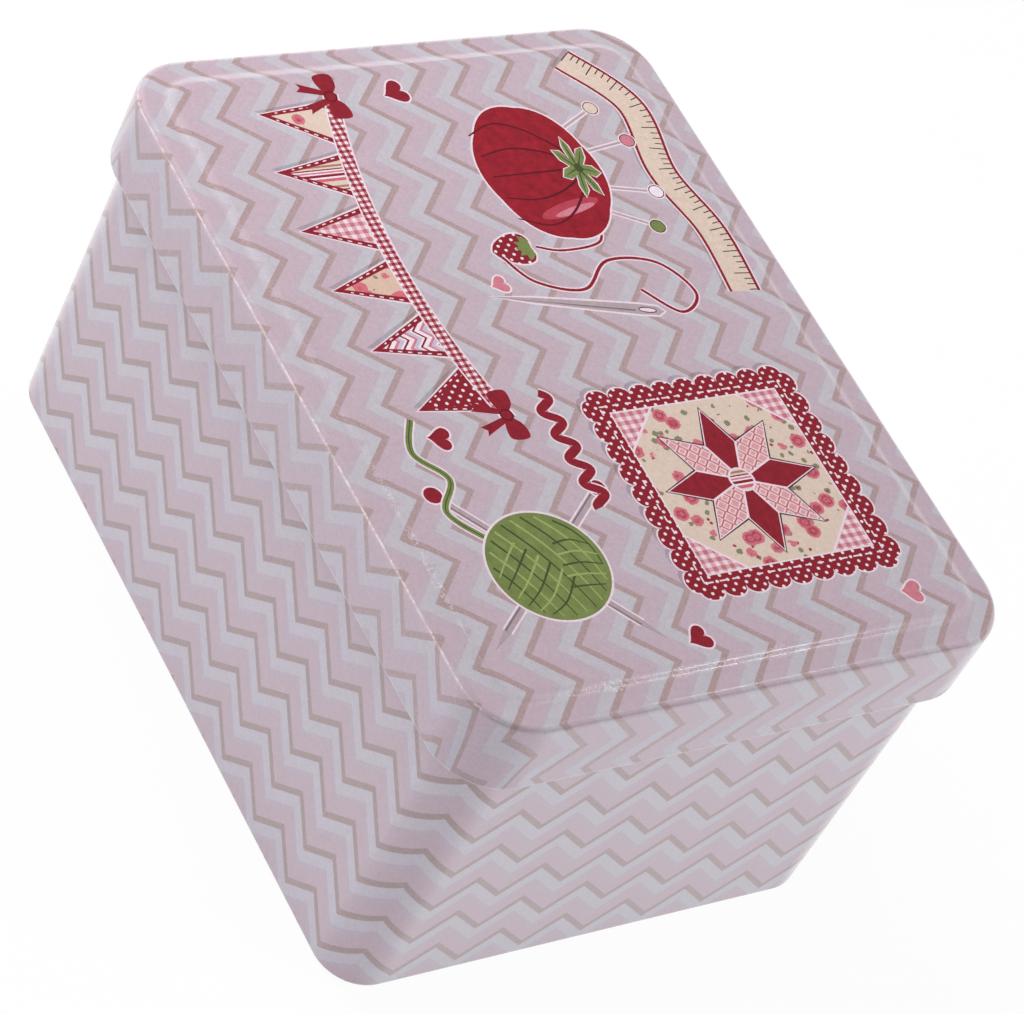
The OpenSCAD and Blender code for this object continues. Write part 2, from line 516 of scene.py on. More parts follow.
def stripes(stops, pitch):
    def paint(graph, x, y):
        return graph.ramp(graph.through(x, pitch), stops, "CONSTANT")
    return paint


def trellis(ground, lines, middle, pitch):
    """Diamonds within diamonds, on a square lattice"""
    def paint(graph, x, y):
        d = graph.math("ADD", graph.off(graph.through(x, pitch), 0.5), graph.off(graph.through(y, pitch), 0.5))
        return graph.ramp(d, [(0.0, middle), (0.2, middle), (0.22, ground), (0.36, ground), (0.38, lines),
                              (0.5, lines), (0.52, ground), (0.66, ground), (0.68, middle)])
    return paint


def blooms(ground, petals, hearts, leaves, size, share):
    """Scattered roses with leaves on a plain ground"""
    def paint(graph, x, y):
        # The place is shaken a little, so that nothing is quite round
        wobble = graph.node("ShaderNodeTexNoise", {"Vector": graph.place(), "Scale": 1500.0, "Detail": 2.0})
        place = graph.node("ShaderNodeMix", {
            0: 0.0006, 4: graph.place(), 5: wobble.outputs["Color"]}, data_type="VECTOR").outputs[1]
        spot = graph.node("ShaderNodeTexVoronoi", {"Vector": place, "Scale": 1000.0 / size})
        leaf = graph.node("ShaderNodeTexVoronoi", {"Vector": place, "Scale": 2600.0 / size})
        pick = graph.node("ShaderNodeSeparateColor", {0: leaf.outputs["Color"]})
        green = graph.math("MULTIPLY", graph.math("LESS_THAN", leaf.outputs["Distance"], 0.36),
                           graph.math("LESS_THAN", pick.outputs[0], 0.3))
        specks = graph.math("MULTIPLY", graph.math("LESS_THAN", leaf.outputs["Distance"], 0.2),
                            graph.math("GREATER_THAN", pick.outputs[1], 0.8))
        colour = graph.mix(green, ground, leaves)
        colour = graph.mix(specks, colour, hearts)
        petal = graph.ramp(graph.math("ADD", spot.outputs["Distance"],
                                      graph.math("MULTIPLY", graph.noise(2600, 2.0, 0.7), 0.25)),
                           [(0.12, hearts), (0.22, petals), (0.3, hearts), (0.4, petals), (0.55, petals)])
        return graph.mix(graph.math("LESS_THAN", spot.outputs["Distance"], share), colour, petal)
    return paint


def small_zigzag(tones, pitch):
    first, second, third, fourth = tones

    def paint(graph, x, y):
        fold = graph.math("PINGPONG", graph.math("DIVIDE", x, pitch), 0.5)
        phase = graph.math("FRACT", graph.math("SUBTRACT", graph.math("DIVIDE", y, pitch), fold))
        return graph.ramp(
            phase, [(0.0, first), (0.14, second), (0.42, third), (0.6, fourth), (0.86, second)], "CONSTANT")
    return paint


CRIMSON = srgb(132, 28, 42)
ROSE = srgb(196, 118, 132)
CREAM = srgb(208, 188, 174)
WHITE = srgb(226, 212, 220)

INKS = {
    "pale": plain(srgb(222, 203, 212), 0.03),
    "white": plain(WHITE, 0.04),
    "cream": plain(CREAM, 0.04),
    "crimson": plain(CRIMSON, 0.16),
    "wine": plain(srgb(92, 16, 28), 0.1),
    "thread_red": plain(srgb(140, 26, 40), 0.22, 500.0),
    "rose": plain(ROSE, 0.08),
    "rose_dark": plain(srgb(172, 62, 78), 0.12),
    "leaf": plain(srgb(112, 126, 72), 0.16, 400.0),
    "leaf_dark": plain(srgb(66, 76, 44), 0.1),
    "leaf_light": plain(srgb(146, 160, 96), 0.1),
    "steel": plain(srgb(168, 152, 158), 0.05),
    "steel_dark": plain(srgb(124, 108, 116), 0.05),
    "ink": plain(srgb(66, 36, 44), 0.1),
    "dots": polka(CRIMSON, WHITE, 2.1, 0.2),
    "gingham": gingham(srgb(226, 204, 208), srgb(206, 156, 166), srgb(184, 108, 122), 1.7),
    "gingham_red": gingham(WHITE, srgb(176, 104, 114), CRIMSON, 1.25),
    "stripes": stripes([
        (0.0, CRIMSON), (0.12, WHITE), (0.2, srgb(190, 96, 112)), (0.34, CREAM), (0.56, srgb(160, 112, 104)),
        (0.66, CREAM), (0.74, CRIMSON), (0.8, WHITE), (0.86, ROSE), (0.94, WHITE)], 4.6),
    "trellis": trellis(srgb(222, 190, 192), srgb(178, 92, 104), srgb(204, 150, 156), 2.6),
    "floral": blooms(CREAM, srgb(198, 110, 124), srgb(158, 52, 70), srgb(126, 126, 100), 4.4, 0.34),
    "roses": blooms(srgb(206, 176, 160), srgb(200, 104, 116), srgb(166, 58, 76), srgb(120, 128, 88), 3.2, 0.48),
    "zigzag": small_zigzag([CRIMSON, WHITE, ROSE, srgb(188, 178, 196)], 3.4),
}


# ------------ artwork on the lid

# The artwork is a list of (kind, loop). A loop is closed, in millimetres on the panel, and filled even-odd. Each one
# is painted over those before it.

# On the tape measure, in millimetres: the distance of the ticks, and where they start, off the tape's middle
TICK = 1.25
TICK_START = 2.6


def disc(x, y, rx, ry=None, turn=0.0, steps=40):
    """An ellipse"""
    angles = [2 * pi * i / steps for i in range(steps)]
    return moved([(rx * cos(a), (ry or rx) * sin(a)) for a in angles], x, y, turn)


def moved(points, x, y, turn=0.0, size=1.0):
    """Points scaled, turned and shifted"""
    c, s = cos(radians(turn)) * size, sin(radians(turn)) * size
    return [(x + c * px - s * py, y + s * px + c * py) for px, py in points]


def between(a, b, t):
    return (a[0] + (b[0] - a[0]) * t, a[1] + (b[1] - a[1]) * t)


def curve(knots, steps=10):
    """A smooth line through the knots (Catmull-Rom)"""
    k = [knots[0]] + list(knots) + [knots[-1]]
    out = []
    for i in range(1, len(k) - 2):
        for j in range(steps):
            t = j / steps
            out.append(tuple(
                0.5 * (2 * k[i][d] + (k[i + 1][d] - k[i - 1][d]) * t
                       + (2 * k[i - 1][d] - 5 * k[i][d] + 4 * k[i + 1][d] - k[i + 2][d]) * t * t
                       + (3 * k[i][d] - k[i - 1][d] - 3 * k[i + 1][d] + k[i + 2][d]) * t ** 3)
                for d in (0, 1)))
    return out + [tuple(knots[-1])]


def normals_along(points, closed):
    n = len(points)
    out = []
    for i in range(n):
        a = points[(i - 1) % n] if closed or i > 0 else points[i]
        b = points[(i + 1) % n] if closed or i < n - 1 else points[i]
        dx, dy = b[0] - a[0], b[1] - a[1]
        d = hypot(dx, dy) or 1.0
        out.append((-dy / d, dx / d))
    return out


def stroke(points, width, end_width=None):
    """A line of some width, which may taper towards its end"""
    n = len(points)
    end_width = width if end_width is None else end_width
    left, right = [], []
    for i, (p, q) in enumerate(zip(points, normals_along(points, False))):
        w = (width + (end_width - width) * i / (n - 1)) / 2
        left.append((p[0] + w * q[0], p[1] + w * q[1]))
        right.append((p[0] - w * q[0], p[1] - w * q[1]))
    return left + right[::-1]


def outset(points, distance):
    """A closed loop moved outwards, for loops drawn anticlockwise"""
    return [(p[0] - distance * q[0], p[1] - distance * q[1])
            for p, q in zip(points, normals_along(points, True))]


def edged(shape, rim, kind, edge="pale"):
    """A closed shape on a slightly larger one of another ink"""
    return [(edge, outset(shape, rim)), (kind, shape)]


def edged_line(points, wide, width, kind):
    """A line on a wider pale one"""
    return [("pale", stroke(points, wide)), (kind, stroke(points, width))]


def dashes(points, length, gap, width):
    """Pale running stitches along a line"""
    out, travelled, start = [], 0.0, None
    period = length + gap
    for a, b in zip(points, points[1:]):
        d = hypot(b[0] - a[0], b[1] - a[1])
        steps = max(1, ceil(d / 0.25))
        for i in range(steps):
            t = i / steps
            if (travelled + d * t) % period < length:
                start = start or []
                start.append(between(a, b, t))
            elif start:
                if len(start) > 2:
                    out.append(("pale", stroke(start, width)))
                start = None
        travelled += d
    return out


def heart(x, y, size, turn=0.0):
    points = []
    for i in range(44):
        a = -2 * pi * (i + 0.5) / 44
        points.append((16 * sin(a) ** 3 / 32 * size,
                       (13 * cos(a) - 5 * cos(2 * a) - 2 * cos(3 * a) - cos(4 * a)) / 32 * size))
    return moved(points, x, y, turn)


def quilt_star(x, y):
    """An eight-pointed patchwork star on a scalloped square"""
    half, scallops = 20.0, 9
    pitch = 2 * half / scallops
    edge = []
    for side in range(4):
        for i in range(scallops):
            for j in range(8):
                a = pi * j / 8
                u = -half + pitch * (i + 0.5) - pitch / 2 * cos(a)
                v = half + pitch / 2 * 0.8 * sin(a)
                edge.append(moved([(-u, v)], 0, 0, 90 * side)[0])
    square = [(-1, -1), (1, -1), (1, 1), (-1, 1)]
    art = [("shade", moved(edge, x - 0.9, y - 0.7))] + edged(moved(edge, x, y), 0.3, "dots")
    art += [("pale", moved(square, x, y, 0, half - 2.9)), ("floral", moved(square, x, y, 0, half - 3.2))]
    corner, line_at = 16.8, 18.4
    for side in range(4):
        for kind, reach in (("pale", 8.6), ("gingham", 9.2)):
            art.append((kind, moved([(corner, corner), (reach, corner), (corner, reach)], x, y, 90 * side)))
        art += dashes(moved([(-line_at, line_at), (line_at, line_at)], x, y, 90 * side), 1.5, 1.0, 0.3)
    # The star's points reach out this far, and its notches lie half way round to the next point
    reach = 15.2
    half_turn = radians(22.5)
    wing = reach / (2 * cos(half_turn))
    points = []
    for i in range(8):
        a, b = radians(45 * i), radians(45 * i + 22.5)
        points += [(reach * cos(a), reach * sin(a)), (wing * cos(b), wing * sin(b))]
    art.append(("ink", outset(moved(points, x, y), 0.42)))
    # Its eight diamonds, each in red or patterned cloth sunk a little into a pale one
    waist, flare = wing * cos(half_turn), wing * sin(half_turn)
    for i in range(8):
        for kind, sink in (("pale", 0.0), (("crimson", "trellis")[i % 2], 0.22)):
            tip = 2.2 * sink
            diamond = [(tip, 0), (waist, sink - flare), (reach - tip, 0), (waist, flare - sink)]
            art.append((kind, moved(diamond, x, y, 45 * i)))
    art += [("pale", disc(x, y, 2.5)), ("stripes", disc(x, y, 2.1))]
    return art


def pincushion(x, y):
    """A tomato pincushion with its leaves, pins and a strawberry on a cord"""
    cord = curve([(x + 11, y + 5), (x + 16.5, y + 3), (x + 17.5, y - 5), (x + 16.0, y - 10)])
    art = edged_line(cord, 1.0, 0.5, "crimson")
    berry = [(0, -4.6), (1.6, -3.6), (2.9, -1.4), (3.4, 0.8), (2.9, 2.6), (1.4, 3.4), (0, 3.1),
             (-1.4, 3.4), (-2.9, 2.6), (-3.4, 0.8), (-2.9, -1.4), (-1.6, -3.6)]
    berry = curve(berry + berry[:1], 4)[:-1]
    spot = (x + 16.0, y - 14.2)
    art += edged(moved(berry, *spot), 0.35, "dots")
    for turn in (-62, -28, 0, 28, 62):
        leaf = [(0, 0), (0.9, 1.5), (0, 3.2), (-0.9, 1.5)]
        art.append(("leaf", moved(leaf, spot[0], spot[1] + 3.2, turn + 180)))
    pins = ((-9, 9, 26, "cream"), (-3.5, 11.5, 9, "rose"), (5, 11, -13, "white"), (10, 8, -30, "leaf"))
    for px, py, tilt, head in pins:
        base = (x + px, y + py)
        tip = moved([(0, 9.5)], *base, tilt)[0]
        art += edged_line([base, tip], 1.1, 0.5, "steel")
        art += [("pale", disc(*tip, 1.75)), ("ink", disc(*tip, 1.5)), (head, disc(*tip, 1.32))]
    body = []
    for i in range(72):
        a = 2 * pi * i / 72
        swell = 1 + 0.035 * abs(sin(3 * a + 0.5))
        body.append((x + 15.2 * swell * cos(a), y + 11.6 * swell * sin(a)))
    art += edged(body, 0.35, "thread_red")
    art.append(("rose_dark", disc(x + 8.6, y + 1.2, 1.5, 6.6, 12)))
    art.append(("rose", disc(x + 9.1, y + 2.0, 0.75, 4.6, 12)))
    for i in (-2, -1, 0, 1, 2):
        seam = curve([(x + i * 1.1, y + 8.4), (x + i * 4.6, y + 2), (x + i * 5.9, y - 4), (x + i * 4.8, y - 10.0)])
        art.append(("wine", stroke(seam, 0.55, 0.3)))
    cap = []
    for i in range(7):
        for a, r in ((0, 2.2), (12, 4.6), (25.7, 6.4), (39, 4.6)):
            b = radians(51.43 * i + a)
            cap.append((x + r * 1.15 * cos(b), y + 7.6 + r * 0.62 * sin(b)))
    art += edged(cap, 0.25, "leaf")
    for i in range(7):
        b = radians(51.43 * i + 25.7)
        vein = [(x + 1.2 * cos(b), y + 7.6 + 0.7 * sin(b)), (x + 6.0 * cos(b), y + 7.6 + 3.2 * sin(b))]
        art.append(("leaf_dark", stroke(vein, 0.35, 0.12)))
    art.append(("leaf_dark", disc(x, y + 7.7, 1.1, 0.8)))
    return art


def yarn_ball(x, y):
    """A ball of yarn with two knitting needles and its loose end"""
    art = []
    for turn in (38, -52):
        line = moved([(-21, 0), (17, 0), (21.5, 0)], x, y, turn)
        art += edged_line(line[:2], 1.9, 1.25, "steel")
        art += [("steel_dark", stroke(moved([(-21, -0.35), (17, -0.35)], x, y, turn), 0.3)),
                ("steel", stroke(line[1:], 1.25, 0.1)),
                ("pale", disc(*line[0], 1.95)), ("crimson", disc(*line[0], 1.6))]
    tail = curve([(x - 7, y - 8), (x - 13, y - 12.2), (x - 19, y - 8.5), (x - 25, y - 12.4), (x - 31.5, y - 9.5)])
    art += edged_line(tail, 1.7, 1.1, "leaf") + [("leaf_dark", stroke(tail, 0.2))]
    art += [("pale", disc(x, y, 11.0, steps=64)), ("leaf", disc(x, y, 10.6, steps=64))]
    # Three bundles of windings: the turn, which windings, and where a short one starts and bends. The first goes
    # right across the ball
    for turn, spread, start, bend in ((25, range(-4, 5), None, None), (-48, range(-3, 3), -0.1, 0.5),
                                      (82, range(-2, 3), 0.25, 0.6)):
        for i in spread:
            lean = i * 2.15
            half = sqrt(10.2 ** 2 - lean ** 2)
            if start is None:
                knots = [(-half * 0.97, lean * 0.95), (-half * 0.35, lean + 0.8), (half * 0.35, lean + 0.8),
                         (half * 0.97, lean * 0.95)]
            else:
                knots = [(half * start, lean), (half * bend, lean * 1.05 + 0.5), (half * 0.96, lean * 0.92)]
            kind = ("leaf_dark", "leaf_light")[i % 2]
            art.append((kind, stroke(moved(curve(knots), x, y, turn), 0.42, 0.22)))
    return art


def bunting(x0, y0, x1, y1, sag, kinds):
    """Pennants on a swagged ribbon"""
    def on(t):
        return (x0 + (x1 - x0) * t, y0 + (y1 - y0) * t - sag * 4 * t * (1 - t))
    art = []
    n = len(kinds)
    for i, kind in enumerate(kinds):
        a, b = on((i + 0.06) / n), on((i + 0.94) / n)
        tilt = degrees(atan2(b[1] - a[1], b[0] - a[0]))
        w = hypot(b[0] - a[0], b[1] - a[1]) / 2
        flag = [(-w, 0), (0, -14.2), (w, 0)]
        mid = ((a[0] + b[0]) / 2, (a[1] + b[1]) / 2)
        art.append(("shade", moved(flag, mid[0] - 0.8, mid[1] - 0.6, tilt)))
        art += edged(moved(flag, *mid, tilt), 0.5, "crimson")
        art.append((kind, moved([(-w + 1.5, -0.9), (0, -12.0), (w - 1.5, -0.9)], *mid, tilt)))
        for side in (-1, 1):
            line = moved([(side * (w - 0.75), -0.9), (side * 0.1, -13.0)], *mid, tilt)
            art += dashes(line, 0.9, 0.8, 0.26)
    ribbon = [on(t / 60) for t in range(-1, 62)]
    art += edged_line(ribbon, 3.1, 2.5, "gingham_red")
    for t in (-0.005, 1.005):
        px, py = on(t)
        for side in (-1, 1):
            loop = [(0, 0), (2.2, 2.0), (5.0, 1.9), (4.8, -1.4), (2.0, -1.3), (0, 0)]
            loop = curve([(side * u, v) for u, v in loop], 6)[:-1]
            tail = [(0, 0), (1.2, -0.3), (3.6, -5.4), (2.5, -4.9), (1.7, -6.0)]
            tail = [(side * u, v) for u, v in tail]
            for shape in (tail, loop):
                art += edged(moved(shape[::-side], px, py), -0.3, "crimson")
        art += [("wine", disc(px, py, 1.25)), ("crimson", disc(px, py, 0.95))]
    return art


def needle_and_thread(x, y, turn):
    thread = curve([(x - 1.2, y + 14.2), (x + 4.6, y + 19.5), (x + 1.0, y + 24.5), (x - 6.5, y + 20.5),
                    (x - 8.2, y + 11.0), (x - 2.8, y + 3.5), (x - 5.6, y - 5.0), (x - 11.5, y - 8.5)])
    needle = [(0, -16), (0.55, -8), (0.95, 4), (1.15, 12), (0.95, 15.4), (0, 16.6),
              (-0.95, 15.4), (-1.15, 12), (-0.95, 4), (-0.55, -8)]
    needle = moved(needle, x, y, turn)
    eye = moved(disc(0, 13.4, 0.42, 1.55, steps=20), x, y, turn)
    shadow = moved([(0.12, -13), (0.42, 2), (0.5, 11), (0.12, 11)], x, y, turn)
    return (edged(needle, 0.4, "steel") + [("steel_dark", shadow)] + edged(eye, 0.2, "pale", "ink")
            + edged_line(thread, 1.15, 0.6, "crimson"))


def tape_measure(knots):
    """A tape with a tick every TICK millimetres along one edge, and each fourth one longer"""
    line = curve(knots, 14)
    art = [("shade", moved(stroke(line, 6.4), -0.7, -0.6)), ("pale", stroke(line, 6.9)),
           ("crimson", stroke(line, 6.3)), ("cream", stroke(line, 5.2))]
    normals = normals_along(line, False)
    travelled, count = 0.0, 0
    for (a, b), q in zip(zip(line, line[1:]), normals):
        d = hypot(b[0] - a[0], b[1] - a[1])
        while travelled + d > count * TICK:
            px, py = between(a, b, (count * TICK - travelled) / d)
            end = TICK_START - (3.0 if count % 4 == 0 else 1.5)
            tick = [(px + off * q[0], py + off * q[1]) for off in (TICK_START, end)]
            art.append(("ink", stroke(tick, 0.22)))
            count += 1
        travelled += d
    return art


def ric_rac(x0, y0, length, turn):
    step, swing, wave = 0.25, 1.35, 5.0
    points = [(t * step, swing * sin(2 * pi * t * step / wave)) for t in range(int(length / step) + 1)]
    line = moved(points, x0, y0, turn)
    return edged_line(line, 2.3, 1.7, "crimson")


def artwork():
    art = tape_measure([(-62, 33), (-50, 41.0), (-34, 39.0), (-20, 41.5), (-6, 40.5)])
    art += bunting(-58, -17, 12, -19, 5.0, ["floral", "stripes", "gingham", "roses", "zigzag", "dots"])
    art += pincushion(-37, 15)
    art += needle_and_thread(-8, 6, -14)
    art += quilt_star(32, 17)
    art += yarn_ball(42, -27)
    art += ric_rac(9, -11, 24, 0)
    for x, y, size, turn, kind in (
            (-58, -4, 5.2, 14, "crimson"), (15, -33, 4.6, -16, "crimson"), (-14, -6, 3.6, 10, "rose"),
            (59, 36, 4.4, -12, "rose"), (60, -8, 4.6, 15, "crimson")):
        art += edged(heart(x, y, size, turn), 0.35, kind)
    return art


def inside(points, loop):
    """Which points lie inside the loop, even-odd"""
    a = np.array(loop)
    b = np.roll(a, -1, 0)
    x, y = points[:, 0:1], points[:, 1:2]
    crosses = (a[:, 1] > y) != (b[:, 1] > y)
    with np.errstate(divide="ignore", invalid="ignore"):
        at = (b[:, 0] - a[:, 0]) * (y - a[:, 1]) / (b[:, 1] - a[:, 1]) + a[:, 0]
    return (crosses & (x < at)).sum(1) % 2 == 1


def paint_panel(shell, rim, z, kinds):
    """Fills the panel inside its rim of vertices, split along the artwork's outlines"""
    art = artwork()
    verts = [Vector(shell.points[i][:2]) for i in rim]
    edges = [(i, (i + 1) % len(verts)) for i in range(len(verts))]
    for _, loop in art:
        first = len(verts)
        verts += [Vector(p) for p in loop]
        edges += [(first + i, first + (i + 1) % len(loop)) for i in range(len(loop))]
    places, _, faces, origins, _, _ = delaunay_2d_cdt(verts, edges, [], 0, 1e-5)
    corner = [next((rim[o] for o in origin if o < len(rim)), None) for origin in origins]
    for i, p in enumerate(places):
        if corner[i] is None:
            corner[i] = shell.vertex((p.x, p.y, z), (0, 0, 1), panel_mark(p.x, p.y), -PANEL_INSET)
    where = np.array([p[:] for p in places])
    middles = np.array([where[list(f)].mean(0) for f in faces])
    kind_of = np.full(len(faces), PRINT)
    for kind, loop in art:
        near = np.flatnonzero(((middles >= np.min(loop, 0)) & (middles <= np.max(loop, 0))).all(1))
        kind_of[near[inside(middles[near], loop)]] = kinds.index(kind)
    for face, kind in zip(faces, kind_of):
        shell.face(tuple(corner[i] for i in face), int(kind))


# ------------ the lid

def panel_mark(x, y):
    """Print coordinates of a place on the flat blank of the lid"""
    x -= LID_ORIGIN[0]
    y -= LID_ORIGIN[1]
    c, s = cos(radians(LID_TURN)), sin(radians(LID_TURN))
    return ((c * x + s * y) / REPEAT, (c * y - s * x) / LID_ROWS)


def lid_mark(station, run):
    """Print coordinates of a place on the lid: run is how far outside the outline it was in the flat blank"""
    cx, cy, nx, ny, share = station
    if run > 0:
        run *= 1 - (1 - CORNER_DRAW) * sin(pi * share)
    return panel_mark(cx + nx * (LID_CORNER + run), cy + ny * (LID_CORNER + run))


def make_lid(materials, kinds):
    shell = Shell()
    ring = stations(LID_L, LID_W, LID_CORNER)
    places = lid_places()
    outer, inner = faces_of(places)
    runs = [r - PANEL_INSET for r in runs_of(places)]
    bend_end = next(r for r, p in zip(runs, places) if p[2] <= -90)
    runs = [r if r <= bend_end else bend_end + (r - bend_end) / SKIRT_PULL for r in runs]

    def circle(point, run):
        return shell.circle(point, ring, LID_CORNER, [lid_mark(s, run) for s in ring], run)

    out = [circle(p, r) for p, r in zip(outer, runs)]
    into = [circle(p, r) for p, r in zip(inner, runs)]
    for a, b in zip(out, out[1:]):
        shell.band(b, a, PRINT)
    for a, b in zip(into, into[1:]):
        shell.band(a, b, TIN)
    shell.band(into[-1], out[-1], TIN)
    shell.face(tuple(reversed(into[0])), TIN)
    paint_panel(shell, out[0], outer[0][1], kinds)
    return shell.build("printed_lid", materials)


# ------------ the body wall

def wall_mark(along, height):
    """Print coordinates of a place on the wall: along is counted from the middle of the front, both ways round"""
    along -= WALL_ORIGIN[0]
    height -= WALL_ORIGIN[1]
    return (along / WALL_REPEAT, (height + WALL_FALL * along) / WALL_ROWS)


# The lock seam in plan, x along the back wall and depth behind its face: the folds' centres, the edge of the sheet
# that stays flush, and the start of the joggle that takes the other sheet behind it
SEAM_FOLD = SEAM / 2 - FOLD
SEAM_EDGE = -SEAM / 2
JOGGLE_W = 4 * SHEET
JOGGLE_START = -SEAM_FOLD - JOGGLE_W
JOGGLE_DEPTH = 3 * SHEET
# How deep the flush sheet's edge is drawn, so that it ends behind the other sheet
EDGE_DEPTH = 2.2 * FOLD


def fold_profile(x, side):
    """Outside of the folded edge of a sheet, at the face: a quarter turn about x, from flush to edge-on"""
    out = []
    for turn in range(0, 91, 15):
        a = radians(turn)
        out.append((x + side * FOLD * sin(a), FOLD * (cos(a) - 1), side * sin(a), cos(a)))
    return out


def make_seam(shell, along_before, along_after):
    """The groove on the outside where one sheet dives behind the other, and the four layers on the inside"""
    back = WALL_W / 2
    joggle = walk((JOGGLE_START, -SHEET / 2, 0), step_moves(JOGGLE_DEPTH, JOGGLE_W, -1))
    face, behind = faces_of(joggle)
    edge = fold_profile(-SEAM_FOLD, -1)
    edge.append((SEAM_EDGE, -EDGE_DEPTH, -1.0, 0.0))
    diving = [p for p in face if p[0] < SEAM_EDGE][::-1]
    layers = [(x, -4 * SHEET - d, nx, -nd) for x, d, nx, nd in fold_profile(SEAM_FOLD, 1)][::-1]
    layers = [(SEAM / 2, -SHEET, 1.0, 0.0)] + layers + behind[::-1]

    def strip(profile, kind, along):
        rows = []
        for z in (SEAM_LOW, SEAM_HIGH):
            rows.append([shell.vertex((x, back + depth, z), (nx, nd, 0), wall_mark(along(x), z), z)
                         for x, depth, nx, nd in profile])
        for i in range(len(profile) - 1):
            shell.face((rows[0][i], rows[0][i + 1], rows[1][i + 1], rows[1][i]), kind)

    strip(edge, PRINT, along_before)
    strip(diving, PRINT, along_after)
    strip(layers, TIN, along_before)
    for profile, facing in ((edge + diving, 1), (layers, -1)):
        for z, way in ((SEAM_LOW, facing), (SEAM_HIGH, -facing)):
            ends = [shell.vertex((x, back + depth, z), (0, 0, way), (0, 0), z) for x, depth, nx, nd in profile]
            shell.face(tuple(ends[::way]), TIN)


def make_wall(materials):
    shell = Shell()
    seam = ((-SEAM_FOLD, 1.0), (SEAM_EDGE, 1.0), (SEAM_EDGE, 0.0), (JOGGLE_START, 0.0))
    ring = stations(WALL_L, WALL_W, WALL_CORNER, seam)
    first = CORNER_STEPS + 1
    # Spans of the ring that are left open: the joint of the two sheets all the way, and the groove along the seam
    joint = {first + 1}
    groove = {first, first + 1, first + 2}
    places = wall_places()
    outer, inner = faces_of(places)

    # Lengths of the print from the middle of the front, both ways round
    side = (WALL_W - 2 * WALL_CORNER) / SIDE_PULL
    side_x = WALL_L / 2 - WALL_CORNER
    arc = pi / 2 * WALL_CORNER / CORNER_PULL
    to_back = side_x + arc + side

    def before_seam(x):
        return to_back + arc + side_x - x

    def after_seam(x):
        return -to_back - arc - side_x - x

    def along(index):
        cx, cy, nx, ny, share = ring[index]
        if cy < 0:
            return side_x + share * arc if cx > 0 else -side_x - (1 - share) * arc
        if index <= first + 1:
            return before_seam(cx) - (1 - share) * arc
        return after_seam(cx) + share * arc

    def circle(point):
        z = point[1]
        return shell.circle(point, ring, WALL_CORNER, [wall_mark(along(i), z) for i in range(len(ring))], z)

    out = [circle(p) for p in outer]
    into = [circle(p) for p in inner]
    for a, b, p, q in zip(out, out[1:], outer, outer[1:]):
        open_groove = p[0] == q[0] == 0 and SEAM_LOW < (p[1] + q[1]) / 2 < SEAM_HIGH
        shell.band(b, a, PRINT, groove if open_groove else joint)
    for a, b in zip(into, into[1:]):
        shell.band(a, b, TIN, joint)
    shell.band(into[-1], out[-1], TIN, joint)
    shell.band(out[0], into[0], TIN, joint)
    make_seam(shell, before_seam, after_seam)
    return shell.build("printed_wall", materials)


# ------------ stage

# Half the width of the floor in metres, and its share of plain white where it is seen
FLOOR_HALF = 3.0
FLOOR_GLOW = 0.95


def make_stage():
    """A pale floor, almost plain white to the camera and in reflections, that throws light back onto the box"""
    mesh = bpy.data.meshes.new("floor")
    half = FLOOR_HALF
    mesh.from_pydata([(-half, -half, 0), (half, -half, 0), (half, half, 0), (-half, half, 0)], [], [(0, 1, 2, 3)])
    graph = Graph("pale_floor")
    path = graph.node("ShaderNodeLightPath")
    seen = path.outputs["Is Camera Ray"]
    for ray in ("Is Glossy Ray", "Is Transmission Ray"):
        seen = graph.math("MAXIMUM", seen, path.outputs[ray])
    grain = graph.ramp(graph.noise(40, 2.0), [(0.3, grey(0.78)), (0.7, grey(0.82))])
    diffuse = graph.node("ShaderNodeBsdfDiffuse", {"Color": grain})
    glow = graph.node("ShaderNodeEmission", {"Color": grey(1.0), "Strength": 1.0})
    mixed = graph.node("ShaderNodeMixShader", {
        0: graph.math("MULTIPLY", seen, FLOOR_GLOW), 1: diffuse.outputs[0], 2: glow.outputs[0]})
    graph.put(graph.tree.nodes["Material Output"].inputs["Surface"], mixed.outputs[0])
    mesh.materials.append(graph.owner)
    add_object("floor", mesh)


# The studio round the object: an even dome with soft round patches: (azimuth, elevation), radius and soft edge in
# degrees, and brightness. The first is a dark one on the camera's right, and the next gives the right-hand rim its
# dark line. The dim ones at 130 and 190 keep the sheen off the panel and its front step. The one at 150 lightens the
# left-hand step, and the two small bright ones show as light lines on the front rim and the right-hand step
DOME = 0.66
STUDIO = [
    ((-25, 25), 22, 22, 0.22),
    ((37, 3), 12, 7, 0.0),
    ((130, 41), 18, 14, 0.22),
    ((150, 3), 10, 14, 0.85),
    ((190, 57), 19, 12, 0.22),
    ((239, 11), 4, 2, 4.0),
    ((73, 51), 1.2, 0.6, 14.0),
]


def direction(azimuth, elevation):
    a, e = radians(azimuth), radians(elevation)
    return Vector((cos(a) * cos(e), sin(a) * cos(e), sin(e)))


def make_world():
    """White to the camera. What lights the object is the dome with its patches"""
    graph = Graph("studio", "worlds")
    bpy.context.scene.world = graph.owner
    ray = graph.node("ShaderNodeTexCoord").outputs["Generated"]
    level = grey(DOME)
    for middle, radius, edge, brightness in STUDIO:
        dot = graph.node("ShaderNodeVectorMath", {0: ray, 1: direction(*middle)}, operation="DOT_PRODUCT")
        share = graph.node("ShaderNodeMapRange", {
            "Value": dot.outputs["Value"], "From Min": cos(radians(radius + edge)),
            "From Max": cos(radians(radius))}, interpolation_type="SMOOTHSTEP")
        level = graph.mix(share.outputs[0], level, grey(brightness))
    seen = graph.node("ShaderNodeLightPath").outputs["Is Camera Ray"]
    graph.put(graph.tree.nodes["Background"].inputs["Color"], graph.mix(seen, level, grey(1.0)))


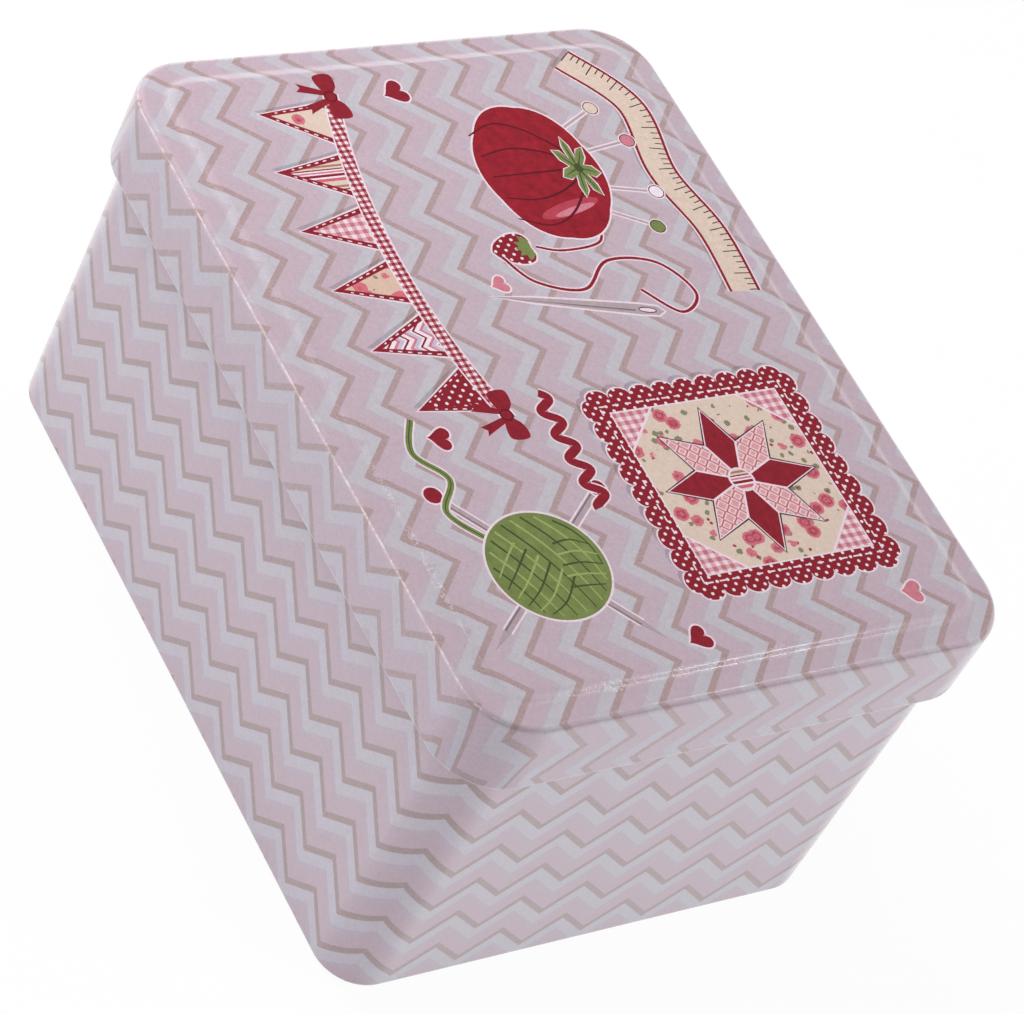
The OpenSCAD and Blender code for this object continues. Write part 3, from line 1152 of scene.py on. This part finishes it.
# Height of the point that the lamps are aimed at, in metres
LAMP_AIM = 0.04


def make_lamp(name, azimuth, elevation, distance, size, power):
    """A round softbox aimed at the object, placed in degrees and metres. It doesn't show in the lacquer"""
    data = bpy.data.lights.new(name, "AREA")
    data.shape = "DISK"
    data.size = size
    data.energy = power
    lamp = add_object(name, data)
    way = direction(azimuth, elevation)
    lamp.location = way * distance + Vector((0, 0, LAMP_AIM))
    lamp.rotation_euler = way.to_track_quat("Z", "Y").to_euler()
    lamp.visible_glossy = False


# The camera: its place and aim in metres, how far it is rolled in degrees, and its focal length and sensor in
# millimetres
CAMERA_PLACE = (0.31571, -0.36841, 0.4971)
CAMERA_AIM = (0.00577, 0.00149, 0.04)
CAMERA_ROLL = -29.9766
CAMERA_LENS = 137.858
CAMERA_SENSOR = 36.0


def make_camera():
    data = bpy.data.cameras.new("camera")
    data.sensor_fit = "HORIZONTAL"
    data.sensor_width = CAMERA_SENSOR
    data.lens = CAMERA_LENS
    data.clip_start = 0.01
    camera = add_object("camera", data)
    look = (Vector(CAMERA_AIM) - Vector(CAMERA_PLACE)).to_track_quat("-Z", "Y")
    camera.matrix_world = (Matrix.Translation(CAMERA_PLACE) @ look.to_matrix().to_4x4()
                           @ Matrix.Rotation(radians(-CAMERA_ROLL), 4, "Z"))
    bpy.context.scene.camera = camera


# ------------ putting it together

# Tan, pink, lilac and pale ink of the zigzags, and how dark the lid's are in the shadows of the artwork
LID_TONES = (srgb(184, 158, 160), srgb(201, 179, 191), srgb(198, 181, 194), srgb(201, 194, 204))
WALL_TONES = (srgb(172, 148, 151), srgb(198, 175, 190), srgb(194, 178, 195), srgb(200, 193, 206))
ART_SHADOW = 0.72

tin = bare_tin("bare_tin")
in_shade = [scaled(tone, ART_SHADOW) for tone in LID_TONES]
# The names of the lid's material slots, in order
kinds = ["print", "tin", "shade"] + list(INKS)
lid = make_lid([zigzag_print("lid_print", LID_RISE / LID_ROWS, LID_TONES, on_lid=True), tin,
                zigzag_print("lid_shade", LID_RISE / LID_ROWS, in_shade)]
               + [ink("ink_" + name, paint) for name, paint in INKS.items()], kinds)
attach(lid, "lid")
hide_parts("lid")

wall = make_wall([zigzag_print("wall_print", WALL_RISE / WALL_ROWS, WALL_TONES), tin])
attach(wall, "tin_body")
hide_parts("body_wall")

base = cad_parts["base_panel"]
for slot in base.material_slots:
    slot.material = tin

make_stage()
make_world()
make_camera()
make_lamp("left_softbox", azimuth=200, elevation=47, distance=0.5, size=0.3, power=2.25)
make_lamp("right_softbox", azimuth=52, elevation=26, distance=1.0, size=0.5, power=4.1)

scene = bpy.context.scene
scene.view_settings.view_transform = "Standard"
